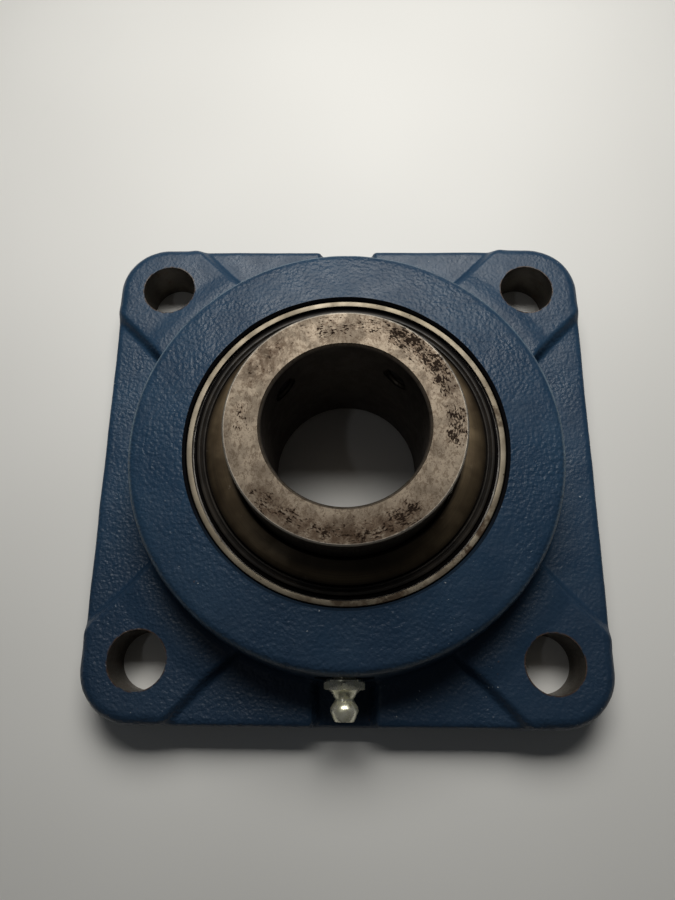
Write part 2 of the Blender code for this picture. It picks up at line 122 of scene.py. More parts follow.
BOSS_TOP_Z = 29.2  # at the mouth
MOUTH_CHAMFER = 0.6
SEAT_R = 40.3
RECESS_R = 47.0
RECESS_DEPTH = 2.5
REAR_BORE_R = 38.8
LOADING_R = 40.6  # reach and half width of the slots by which the insert goes in
LOADING_HALF_WIDTH = 9.0
PIN_SLOT_HALF_WIDTH = 1.9
PIN_SLOT_DEPTH_R = 41.9
CAST_STEP = 0.56
CAST_LOW = -2.0  # the blank goes on below the back face, where it is then cut flat

# Insert
PITCH_R = 30.0
BALLS = 9
BALL_R = 5.7
GROOVE_R = 6.2
OUTER_SHOULDER_R = 34.6
INNER_SHOULDER_R = 26.6
SPHERE_R = 40.0
SEAL_MOUTH_R = 37.7
RIVET_HOLE_R = 0.95
COLLAR_R = 27.8
SHAFT_R = 19.05
FACE = 24.0  # from the ball row to the collar's face
LUBE_HOLE = -2.9  # from the ball row to the grease hole
PIN_HOLE_R = 1.6
PIN_ANGLE = 90
SCREW_ANGLES = (50.5, 140.5)
SCREW_Z = 34.2
SCREW_R = 3.25
SCREW_HOLE_R = 3.55
SCREW_PITCH = 1.0

# Grease nipple, with lengths along it counted from the bearing axis
NIPPLE_ANGLE = -90
NIPPLE_Z = 18.0
NIPPLE_SEAT_R = 54.4
NIPPLE_BORE_R = 3.3
SPOT_FACE_R = 7.2
CHECK_BALL_R = 1.15
CHECK_BALL_PLACE = 61.9
SPRING_ENDS = (48.7, 60.4)
SPRING_WIRE_R = 0.15


# Mesh helpers


def arc(centre, radius, start_deg, end_deg, steps):
    """Points on an arc, both ends included."""
    found = []
    for i in range(steps + 1):
        a = math.radians(start_deg + (end_deg - start_deg) * i / steps)
        found.append((centre[0] + radius * math.cos(a), centre[1] + radius * math.sin(a)))
    return found


def finished(name, bm, sharp_deg=32):
    """Merge, turn faces outwards, scale to metres and shade smooth between sharp edges."""
    bmesh.ops.remove_doubles(bm, verts=bm.verts, dist=1e-4)
    bmesh.ops.recalc_face_normals(bm, faces=bm.faces)
    bmesh.ops.scale(bm, vec=(MM, MM, MM), verts=bm.verts)
    mesh = bpy.data.meshes.new(name)
    bm.to_mesh(mesh)
    bm.free()
    mesh.shade_smooth()
    mesh.set_sharp_from_angle(angle=math.radians(sharp_deg))
    return mesh


def put(name, mesh, material=None):
    """Add an object to the scene."""
    obj = bpy.data.objects.new(name, mesh)
    if material:
        mesh.materials.append(material)
    bpy.context.scene.collection.objects.link(obj)
    return obj


def broken_edges(profile, width):
    """The closed outline with a small round at every corner sharper than 50 degrees."""
    points = []
    count = len(profile)
    for i, here in enumerate(profile):
        before, after = Vector(profile[i - 1]), Vector(profile[(i + 1) % count])
        corner = Vector(here)
        back, on = before - corner, after - corner
        on_axis = here[0] == 0
        if on_axis or back.length < 1e-6 or on.length < 1e-6 or back.angle(on) > math.radians(130):
            points.append(tuple(corner))
            continue
        reach = min(width, back.length * 0.4, on.length * 0.4)
        start, end = corner + back.normalized() * reach, corner + on.normalized() * reach
        for t in (0.0, 0.33, 0.67, 1.0):
            bend = start * (1 - t) ** 2 + corner * 2 * t * (1 - t) + end * t**2
            points.append(tuple(bend))
    return points


def turned(name, profile, steps=FINE, edge=0.12):
    """A closed (r, z) outline turned round Z, with its corners slightly rounded."""
    outline = broken_edges(profile, edge) if edge else profile
    bm = bmesh.new()
    verts = [bm.verts.new((r, 0, z)) for r, z in outline]
    edges = []
    for i, vert in enumerate(verts):
        if outline[i - 1][0] > 0 or outline[i][0] > 0:
            edges.append(bm.edges.new((verts[i - 1], vert)))
    whole = verts + edges
    bmesh.ops.spin(
        bm, geom=whole, cent=(0, 0, 0), axis=(0, 0, 1), angle=math.tau, steps=steps, use_merge=True
    )
    return finished(name, bm)


def prism(name, outline, low, high):
    """An outline carried straight up from one height to another."""
    bm = bmesh.new()
    rings = [[bm.verts.new((x, y, z)) for x, y in outline] for z in (low, high)]
    for i in range(len(outline)):
        bm.faces.new((rings[0][i - 1], rings[0][i], rings[1][i], rings[1][i - 1]))
    bm.faces.new(rings[0])
    bm.faces.new(rings[1])
    return finished(name, bm)


def hexagon(across_flats):
    return arc((0, 0), across_flats / math.sqrt(3), 0, 360, 6)[:-1]


def threaded(name, radius, depth, pitch, low, high, ends, steps=40):
    """A solid screw thread along Z. The radius follows (angle, height), and fades out at both ends."""
    rows = int(math.ceil((high - low) / pitch * 8))
    bm = bmesh.new()
    rings = []
    for row in range(rows + 1):
        z = low + (high - low) * row / rows
        end_loss = max(0.0, ends - min(z - low, high - z))
        ring = []
        for i in range(steps):
            turn = math.tau * i / steps
            phase = (z / pitch - i / steps) % 1.0
            ridge = min(1.0, max(0.0, abs(phase - 0.5) * 2.6 - 0.15))
            r = min(radius - depth * ridge, radius - end_loss)
            ring.append(bm.verts.new((r * math.cos(turn), r * math.sin(turn), z)))
        rings.append(ring)
    for a, b in zip(rings, rings[1:]):
        for i in range(steps):
            bm.faces.new((a[i - 1], a[i], b[i], b[i - 1]))
    bm.faces.new(rings[0])
    bm.faces.new(rings[-1])
    return finished(name, bm, 50)


def radial(angle_deg, z):
    """Matrix that lays an object's own Z along a radius of the bearing."""
    turn = Matrix.Rotation(math.radians(angle_deg), 4, "Z") @ Matrix.Rotation(math.pi / 2, 4, "Y")
    return Matrix.Translation((0, 0, z * MM)) @ turn


def settle(obj, matrix):
    """Move the mesh itself, so that the piece's own coordinates stay those of the frame."""
    obj.data.transform(matrix)
    obj.data.update()
    return obj


def boolean(obj, helper, operation="DIFFERENCE"):
    """Join or cut with a helper solid, keep the result in the mesh and throw the helper away."""
    modifier = obj.modifiers.new("boolean", "BOOLEAN")
    modifier.operation = operation
    modifier.solver = "MANIFOLD"
    modifier.object = helper
    bpy.context.view_layer.update()
    evaluated = obj.evaluated_get(bpy.context.evaluated_depsgraph_get())
    mesh = bpy.data.meshes.new_from_object(evaluated)
    obj.modifiers.clear()
    obj.data = mesh
    bpy.data.objects.remove(helper, do_unlink=True)


def finish_cuts(obj, materials, sharp_deg=32):
    """After the last Boolean: smooth shading between sharp edges, and only these materials."""
    mesh = obj.data
    mesh.shade_smooth()
    mesh.set_sharp_from_angle(angle=math.radians(sharp_deg))
    mesh.materials.clear()
    for material in materials:
        mesh.materials.append(material)
    mesh.polygons.foreach_set("material_index", np.zeros(len(mesh.polygons), np.int32))


def place(obj, node):
    """The piece stands in for a CAD node, which it hides, and rides on that node's body."""
    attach(obj, frame["nodes"][node]["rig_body"])
    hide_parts(node)
    return obj


# Casting: a distance field, negative inside, made into a mesh and then machined


def smoothstep(low, high, value):
    """0 below low, 1 above high, and a smooth step between them."""
    t = np.clip((value - low) / (high - low), 0, 1)
    return t * t * (3 - 2 * t)


def round_union(a, b, radius):
    """Two distance fields joined, with a fillet of the radius where they meet."""
    u, v = np.maximum(radius - a, 0), np.maximum(radius - b, 0)
    return np.maximum(radius, np.minimum(a, b)) - np.sqrt(u * u + v * v)


def round_overlap(a, b, radius):
    """What two distance fields share, with its outer edge rounded to the radius."""
    u, v = np.maximum(radius + a, 0), np.maximum(radius + b, 0)
    return np.minimum(-radius, np.maximum(a, b)) + np.sqrt(u * u + v * v)


def soft_minimum(a, b, width):
    """The lower of two heights, blended where they are less than a width apart."""
    share = np.clip(0.5 + 0.5 * (b - a) / width, 0, 1)
    return b + (a - b) * share - width * share * (1 - share)


def lattice_noise(points, wavelength, seed):
    """Smooth value noise between -1 and 1 at points given in millimetres."""
    size = 32
    values = np.random.default_rng(seed).uniform(-1, 1, (size, size, size)).astype(np.float32)
    cell = points / wavelength + 1000.0  # every coordinate above zero
    base = np.floor(cell).astype(int)
    t = cell - base
    t = t * t * (3 - 2 * t)
    total = np.zeros(len(points), np.float32)
    for corner in range(8):
        step = np.array([corner & 1, corner >> 1 & 1, corner >> 2 & 1])
        weight = np.prod(np.where(step == 1, t, 1 - t), axis=1)
        i, j, k = ((base + step) % size).T
        total += weight * values[i, j, k]
    return total


def from_diagonal(x, y):
    """Distance from the nearer diagonal of the plate."""
    return np.minimum(np.abs(x - y), np.abs(x + y)) / math.sqrt(2)


def plate_top(x, y):
    """Height of the flange's front: lands on the diagonals, valleys between them, two troughs."""
    land = 1 - smoothstep(*LAND_HALF_WIDTH, from_diagonal(x, y))
    climb = np.clip((RIB_START_R - np.hypot(x, y)) / (RIB_START_R - BOSS_R), 0, 1)
    top = VALLEY_Z + (PAD_Z - VALLEY_Z + RIB_RISE * climb**1.5) * land
    in_trough = TROUGH_Z + TROUGH_WALL * smoothstep(*TROUGH_HALF_WIDTH, np.abs(x))
    return soft_minimum(top, in_trough, 1.2)


def casting_field(x, y, z):
    """Distance field of the casting before it is machined: the plate, with the boss standing on it."""
    inner = HALF_SIDE - CORNER_R
    qx, qy = np.abs(x - PLATE_SHIFT[0]) - inner, np.abs(y - PLATE_SHIFT[1]) - inner
    outside = np.sqrt(np.maximum(qx, 0) ** 2 + np.maximum(qy, 0) ** 2)
    square = outside + np.minimum(np.maximum(qx, qy), 0) - CORNER_R + PLATE_DRAFT * (z - 5)
    at_land = 1 - smoothstep(12.0, 17.0, from_diagonal(x, y))
    edge_round = PLATE_EDGE_ROUND + (LAND_EDGE_ROUND - PLATE_EDGE_ROUND) * at_land
    plate = round_overlap(square, z - plate_top(x, y), edge_round)
    r = np.sqrt(x * x + y * y)
    flank = r - BOSS_R - BOSS_DRAFT * (SHOULDER_Z - z)
    # The cone is level in the middle, where the seat is turned out later.
    top = z - BOSS_TOP_Z + BOSS_FALL * (np.maximum(r, 38) - BOSS_MOUTH_R)
    boss = round_overlap(flank, top, BOSS_ROUND)
    return np.maximum(round_union(plate, boss, BOSS_FOOT_FILLET), CAST_LOW - z)


def surface_net(field, origin, step):
    """Vertices and outward quads on the zero level of a field sampled on a grid."""
    inside = field < 0
    places, quads = [], []
    for axis in range(3):
        low, high = [slice(None)] * 3, [slice(None)] * 3
        low[axis], high[axis] = slice(0, -1), slice(1, None)
        base = np.argwhere(inside[tuple(low)] != inside[tuple(high)])
        tip = base.copy()
        tip[:, axis] += 1
        a, b = field[tuple(base.T)], field[tuple(tip.T)]
        place_on_edge = base.astype(float)
        place_on_edge[:, axis] += a / (a - b)
        u, v = (axis + 1) % 3, (axis + 2) % 3
        corners = []
        for du, dv in ((0, 0), (-1, 0), (-1, -1), (0, -1)):
            cell = base.copy()
            cell[:, u] += du
            cell[:, v] += dv
            corners.append(np.ravel_multi_index(cell.T, field.shape))
        quad = np.stack(corners, 1)
        quad[b < 0] = quad[b < 0][:, ::-1]
        places.append(place_on_edge)
        quads.append(quad)
    place_on_edge, quad = np.concatenate(places), np.concatenate(quads)
    cells, index = np.unique(quad, return_inverse=True)
    index = index.reshape(quad.shape)
    share = np.bincount(index.ravel(), minlength=len(cells))
    sums = [np.bincount(index.ravel(), np.repeat(place_on_edge[:, k], 4)) for k in range(3)]
    return origin + np.stack(sums, 1) / share[:, None] * step, index


def roughen(mesh):
    """The unevenness of a sand casting, as real relief."""
    count = len(mesh.vertices)
    places, normals = np.zeros(count * 3), np.zeros(count * 3)
    mesh.vertices.foreach_get("co", places)
    mesh.vertices.foreach_get("normal", normals)
    places, normals = places.reshape(-1, 3), normals.reshape(-1, 3)
    relief = np.zeros(count, np.float32)
    for seed, (height, wavelength) in enumerate(((0.08, 11.0), (0.035, 4.1), (0.02, 1.9)), 1):
        relief += height * lattice_noise(places / MM, wavelength, seed)
    places += normals * relief[:, None] * MM
    mesh.vertices.foreach_set("co", places.ravel())
    mesh.update()


def cast_blank():
    """The casting as it comes out of the mould."""
    step = CAST_STEP
    reach = HALF_SIDE + 3
    flat = np.arange(-reach, reach + step, step)
    up = np.arange(CAST_LOW - 2, BOSS_TOP_Z + 3, step)
    field = casting_field(flat[:, None, None], flat[None, :, None], up[None, None, :])
    points, quads = surface_net(field, np.array([-reach, -reach, CAST_LOW - 2]), step)
    mesh = bpy.data.meshes.new("housing_cast")
    mesh.from_pydata((points * MM).tolist(), [], quads.tolist())
    mesh.update()
    roughen(mesh)
    return put("housing_cast", mesh)


def seat_cutter():
    """Back recess, rear opening, spherical seat and the mouth."""
    lowest = -math.degrees(math.acos(REAR_BORE_R / SEAT_R))
    front = math.degrees(math.asin((BOSS_TOP_Z - MOUTH_CHAMFER - AXIS_Z) / SEAT_R))
    profile = [(0, -6), (RECESS_R, -6), (RECESS_R, RECESS_DEPTH - 0.5), (RECESS_R - 0.5, RECESS_DEPTH)]
    profile += [(REAR_BORE_R + 0.8, RECESS_DEPTH), (REAR_BORE_R, RECESS_DEPTH + 0.8)]
    profile += arc((0, AXIS_Z), SEAT_R, lowest, front, 36)
    mouth_r, above = BOSS_MOUTH_R + 0.25, BOSS_TOP_Z + 3
    profile += [(mouth_r, BOSS_TOP_Z + 0.4), (mouth_r, above), (0, above)]
    return put("seat", turned("seat", profile, 256, 0))


def slot_cutters():
    """Loading slots at both sides, and the locating pin's slot at the far side."""
    half = math.degrees(math.asin(LOADING_HALF_WIDTH / LOADING_R))
    loading = arc((0, 0), LOADING_R, -half, half, 12)
    loading += arc((0, 0), LOADING_R, 180 - half, 180 + half, 12)
    yield put("loading", prism("loading", loading, -1, AXIS_Z + 0.3))
    pin = [(-PIN_SLOT_HALF_WIDTH, -1), (PIN_SLOT_HALF_WIDTH, -1)]
    pin += arc((0, AXIS_Z + 2.3), PIN_SLOT_HALF_WIDTH, 0, 180, 16)
    slot = put("pin_slot", prism("pin_slot", pin, 35.3, PIN_SLOT_DEPTH_R))
    # The outline was drawn as (x, height), so its last two coordinates change places.
    swap = Matrix(((1, 0, 0, 0), (0, 0, 1, 0), (0, 1, 0, 0), (0, 0, 0, 1)))
    slot.data.transform(swap)
    slot.data.flip_normals()
    yield slot


def nipple_cutter():
    """Grease passage, tapped bore and spot face."""
    profile = [(0, 37), (2, 37), (2, 45.5), (NIPPLE_BORE_R, 46.3), (NIPPLE_BORE_R, NIPPLE_SEAT_R)]
    profile += [(SPOT_FACE_R, NIPPLE_SEAT_R), (SPOT_FACE_R, 70), (0, 70)]
    cutter = put("nipple_bore", turned("nipple_bore", profile, 64, 0))
    return settle(cutter, radial(NIPPLE_ANGLE, NIPPLE_Z))


def hole_cutters():
    """The four bolt holes."""
    for x in (-BOLT_PLACE, BOLT_PLACE):
        for y in (-BOLT_PLACE, BOLT_PLACE):
            outline = arc((x, y), BOLT_HOLE_R, 0, 360, 72)[:-1]
            yield put("bolt_hole", prism("bolt_hole", outline, -5, PAD_Z + 5))


def bare_metal(mesh):
    """Faces that a tool has cut: the back, the seat, the bolt holes and the nipple's bore."""
    count = len(mesh.polygons)
    centre, normal = np.zeros(count * 3), np.zeros(count * 3)
    mesh.polygons.foreach_get("center", centre)
    mesh.polygons.foreach_get("normal", normal)
    x, y, z = centre.reshape(-1, 3).T / MM
    r = np.hypot(x, y)
    nx, ny, _ = normal.reshape(-1, 3).T
    faces_axis = (nx * x + ny * y) / r < -0.3
    back = z < 0.05
    seat = (r < BOSS_MOUTH_R + 0.3) & faces_axis
    recess = (r < RECESS_R + 0.05) & (z < RECESS_DEPTH + 0.1)
    slots = (r < PIN_SLOT_DEPTH_R + 0.2) & (z < AXIS_Z + 4)
    holes = np.hypot(np.abs(x) - BOLT_PLACE, np.abs(y) - BOLT_PLACE) < BOLT_HOLE_R + 0.02
    in_bore = (y < 0) & (y > 0.05 - NIPPLE_SEAT_R)
    bore = (np.hypot(x, z - NIPPLE_Z) < NIPPLE_BORE_R + 0.1) & in_bore
    cut = back | seat | recess | slots | holes | bore
    mesh.polygons.foreach_set("material_index", cut.astype(np.int32))


def build_housing(paint, iron):
    """The casting with its back faced off, and everything that is turned, milled or drilled in it."""
    housing = cast_blank()
    reach = HALF_SIDE + 14
    under = prism("under", [(-reach, -reach), (reach, -reach), (reach, reach), (-reach, reach)], -20, 0)
    boolean(housing, put("under", under))
    boolean(housing, seat_cutter())
    for cutter in slot_cutters():
        boolean(housing, cutter)
    boolean(housing, nipple_cutter())
    for cutter in hole_cutters():
        boolean(housing, cutter)
    finish_cuts(housing, (paint, iron), 40)
    bare_metal(housing.data)
    place(housing, "housing")


# Insert


def lifted(profile, side=1):
    """From heights over the ball row to heights over the back face. Side -1 mirrors to the rear."""
    return [(r, AXIS_Z + side * z) for r, z in profile]


def on_pitch(number):
    """Centre of a numbered ball on the pitch circle. A half stands between two balls."""
    a = math.tau * number / BALLS
    return PITCH_R * math.cos(a), PITCH_R * math.sin(a)


def raceway(shoulder_r, side):
    """The ball groove, from its rear shoulder to its front one. Side is 1 outside the balls, or -1."""
    reach = math.degrees(math.acos((shoulder_r - PITCH_R) * side / GROOVE_R))
    middle = 0 if side > 0 else 180
    return arc((PITCH_R, 0), GROOVE_R, middle - side * reach, middle + side * reach, 32)


def build_outer_ring(steel):
    """Round outside with its grease groove, raceway and seal grooves, and the two cross holes."""
    end = [(OUTER_SHOULDER_R, 6.4), (38.1, 6.4), (38.1, 7.4)]
    end += [(SEAL_MOUTH_R, 7.8), (SEAL_MOUTH_R, 8.5), (39.0, 8.5)]
    edge, front, rear = (math.degrees(math.asin(z / SPHERE_R)) for z in (8.1, -1.9, -3.9))
    outside = arc((0, 0), SPHERE_R, edge, front, 18) + [(39, -2.1), (39, -3.7)]
    outside += arc((0, 0), SPHERE_R, rear, -edge, 8)
    profile = [(r, -z) for r, z in reversed(end)] + raceway(OUTER_SHOULDER_R, 1) + end + outside
    ring = put("outer_ring_ground", turned("outer_ring_ground", lifted(profile), FINE, 0.1))
    lube = turned("lube", [(0, 33), (0.8, 33), (0.8, 42), (0, 42)], 24, 0)
    boolean(ring, settle(put("lube", lube), radial(NIPPLE_ANGLE, AXIS_Z + LUBE_HOLE)))
    pin = turned("pin_hole", [(0, 37), (PIN_HOLE_R, 37), (PIN_HOLE_R, 42), (0, 42)], 32, 0)
    boolean(ring, settle(put("pin_hole", pin), radial(PIN_ANGLE, AXIS_Z)))
    finish_cuts(ring, (steel,))
    place(ring, "outer_ring")


def build_inner_ring(steel):
    """Raceway, the long collar with its two tapped holes, and the short rear end."""
    collar = [(INNER_SHOULDER_R, 6.7), (COLLAR_R, 7.0), (COLLAR_R, 23.6), (27.4, FACE)]
    collar += [(19.75, FACE), (SHAFT_R, 23.3)]
    rear = [(SHAFT_R, -17.3), (19.75, -18.0), (27.3, -18.0), (COLLAR_R, -17.5)]
    rear += [(COLLAR_R, -7.0), (INNER_SHOULDER_R, -6.7)]
    profile = raceway(INNER_SHOULDER_R, -1) + collar + rear
    ring = put("inner_ring_collar", turned("inner_ring_collar", lifted(profile), FINE, 0.08))
    for angle in SCREW_ANGLES:
        tapped = put("tapped", threaded("tapped", SCREW_HOLE_R, 0.22, SCREW_PITCH, 15, 31, 0))
        boolean(ring, settle(tapped, radial(angle, SCREW_Z)))
    finish_cuts(ring, (steel,))
    place(ring, "inner_ring")


def build_balls(steel):
    sphere = [(0, -BALL_R)] + arc((0, 0), BALL_R, -86, 86, 30) + [(0, BALL_R)]
    for number in range(BALLS):
        ball = put(f"ball_{number + 1}_polished", turned("ball", sphere, 48, 0), steel)
        settle(ball, Matrix.Translation(Vector((*on_pitch(number), AXIS_Z)) * MM))
        place(ball, f"ball_{number + 1}")


def cage_height(angle_deg, radius, flat):
    """Height of a cage surface: part of a circle round each ball, and flat between two balls."""
    pitch = 360 / BALLS
    from_ball = (angle_deg + pitch / 2) % pitch - pitch / 2
    along = 2 * PITCH_R * math.sin(math.radians(from_ball) / 2)
    return max(flat, math.sqrt(max(0, radius**2 - along**2)))


def build_cage(sheet):
    """Two pressed halves. Each is a band swept round the axis, pushed out over every ball."""
    steps = 360
    for name, side in (("cage_front", 1), ("cage_rear", -1)):
        bm = bmesh.new()
        rings = []
        for i in range(steps):
            angle = 360 * i / steps
            inside, outside = cage_height(angle, 5.95, 0.2), cage_height(angle, 6.45, 0.7)
            outline = [(28.2, inside), (31.8, inside), (31.8, outside), (28.2, outside)]
            turn = math.radians(angle)
            spot = [(r * math.cos(turn), r * math.sin(turn), AXIS_Z + side * z) for r, z in outline]
            rings.append([bm.verts.new(co) for co in spot])
        for k, ring in enumerate(rings):
            for i in range(4):
                bm.faces.new((rings[k - 1][i - 1], rings[k - 1][i], ring[i], ring[i - 1]))
        half = put(name + "_pressed", finished(name, bm, 40))
        for number in range(BALLS):
            outline = arc(on_pitch(number + 0.5), RIVET_HOLE_R, 0, 360, 24)[:-1]
            boolean(half, put("rivet_hole", prism("rivet_hole", outline, AXIS_Z - 3, AXIS_Z + 3)))
        finish_cuts(half, (sheet,), 40)
        place(half, name)


def build_rivets(steel):
    half_rivet = [(0.65, 0.9), (1.5, 0.9), (1.45, 1.15), (1.2, 1.35), (0.7, 1.47), (0, 1.5)]
    profile = lifted([(r, -z) for r, z in reversed(half_rivet)] + half_rivet)
    for number in range(BALLS):
        rivet = put(f"cage_rivet_{number + 1}_headed", turned("rivet", profile, 28, 0), steel)
        x, y = on_pitch(number + 0.5)
        settle(rivet, Matrix.Translation((x * MM, y * MM, 0)))
        place(rivet, f"cage_rivet_{number + 1}")


def build_closures(rubber, plate_steel, bronze):
    """Seals, their plates and the slingers, at both ends of the insert."""
    plate = [(30, 6.7), (37.8, 6.7), (37.8, 7.1), (30, 7.1)]
    lip = [(28.15, 7.4), (37.4, 7.4), (37.4, 7.6), (36.75, 7.65), (36.5, 7.95), (36.45, 8.25)]
    lip += [(36.2, 8.4), (35.8, 8.4), (35.55, 8.2), (35.35, 8.0), (35.15, 8.05), (35.0, 8.25)]
    lip += [(34.75, 8.3), (34.6, 8.1), (34.45, 7.9), (28.15, 7.9)]
    slinger = [(28.1, 8.3), (28.6, 8.3), (28.62, 9.3), (28.9, 9.5), (32.3, 8.95)]
    slinger += [(33.2, 8.6), (33.7, 8.3), (34.2, 8.3), (34.2, 8.7), (33.6, 9.05)]
    slinger += [(32.8, 9.4), (30.8, 9.9), (28.7, 10.2), (28.1, 9.9)]
    for end, side in (("front", 1), ("rear", -1)):
        for part, suffix, outline, material in (
            ("seal_plate", "sheet", plate, plate_steel),
            ("seal", "lip", lip, rubber),
            ("slinger", "disc", slinger, bronze),
        ):
            name = f"{end}_{part}"
            piece = put(f"{name}_{suffix}", turned(name, lifted(outline, side), FINE, 0.08), material)
            place(piece, name)


# Small fittings


def build_screws(black):
    """Cup-point set screws with hexagon sockets."""
    for number, angle in enumerate(SCREW_ANGLES, 1):
        body = threaded("set_screw", SCREW_R, 0.3, SCREW_PITCH, 20.3, 28.0, 0.5)
        screw = put(f"set_screw_{number}_threaded", body)
        cup = turned("cup", [(0, 19), (1.9, 19), (1.9, 20.3), (0, 21.4)], 40, 0)
        boolean(screw, put("cup", cup))
        boolean(screw, put("socket", prism("socket", hexagon(4.0), 24.6, 30)))
        settle(screw, radial(angle, SCREW_Z))
        finish_cuts(screw, (black,), 45)
        place(screw, f"set_screw_{number}")


def build_pin(steel):
    profile = [(0, 37.3), (1.15, 37.3), (1.3, 37.45), (1.3, 41.2), (1.0, 41.5), (0, 41.5)]
    pin = put("locating_pin_ground", turned("locating_pin", profile, 48, 0.05), steel)
    place(settle(pin, radial(PIN_ANGLE, AXIS_Z)), "locating_pin")


def build_nipple(zinc):
    """Shank, hexagon, neck and head, with the grease channel through them."""
    body = [(0, 47), (2.6, 47), (3.0, 47.5), (3.0, 54.75), (4.1, 54.75), (4.3, 55.0), (4.3, 57.0)]
    body += [(3.7, 57.35), (3.2, 57.9), (2.6, 58.7), (2.25, 59.2), (2.25, 59.7), (2.8, 60.5)]
    body += [(3.25, 61.2), (3.3, 61.7), (3.25, 62.2), (2.85, 63.2), (2.4, 64.1), (2.2, 64.3), (0, 64.3)]
    nipple = put("grease_nipple_plated", turned("grease_nipple", body, 72, 0.1))
    nut = put("nut", prism("nut", hexagon(9.5), 55.4, 57.2))
    cone = [(0, 55), (4.8, 55), (5.15, 55.4), (5.6, 55.75)]
    cone += [(5.6, 56.85), (5.15, 57.2), (4.8, 57.5), (0, 57.5)]
    boolean(nut, put("cone", turned("cone", cone, 72, 0)), "INTERSECT")
    boolean(nipple, nut, "UNION")
    channel = [(0, 46), (0.8, 46), (0.8, 48.2), (1.4, 48.2), (1.4, 62.4)]
    channel += [(0.75, 63.0), (0.75, 66), (0, 66)]
    boolean(nipple, put("channel", turned("channel", channel, 40, 0)))
    settle(nipple, radial(NIPPLE_ANGLE, NIPPLE_Z))
    finish_cuts(nipple, (zinc,))
    place(nipple, "grease_nipple")


def build_check_ball(steel):
    sphere = [(0, -CHECK_BALL_R)] + arc((0, 0), CHECK_BALL_R, -84, 84, 20) + [(0, CHECK_BALL_R)]
    ball = put("nipple_check_ball_polished", turned("check_ball", sphere, 32, 0), steel)
    settle(ball, Matrix.Translation((0, -CHECK_BALL_PLACE * MM, NIPPLE_Z * MM)))
    place(ball, "nipple_check_ball")


def build_spring(wire):
    """A coil of wire along the nipple, closed at both ends."""
    turns, steps, around = 6, 24, 10
    inner, outer = SPRING_ENDS
    bm = bmesh.new()
    rings = []
    for i in range(turns * steps + 1):
        a = math.tau * i / steps
        along = inner + (outer - inner) * i / (turns * steps)
        centre = Vector((math.cos(a), math.sin(a), along))
        out, up = Vector((math.cos(a), math.sin(a), 0)), Vector((0, 0, 1))
        ring = []
        for k in range(around):
            b = math.tau * k / around
            ring.append(bm.verts.new(centre + SPRING_WIRE_R * (out * math.cos(b) + up * math.sin(b))))
        rings.append(ring)
    for a, b in zip(rings, rings[1:]):
        for k in range(around):
            bm.faces.new((a[k - 1], a[k], b[k], b[k - 1]))
    bm.faces.new(rings[0])
    bm.faces.new(rings[-1])
    spring = put("nipple_spring_coil", finished("nipple_spring", bm), wire)
    settle(spring, radial(NIPPLE_ANGLE, NIPPLE_Z))
    place(spring, "nipple_spring")
    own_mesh(spring)


# Finishes


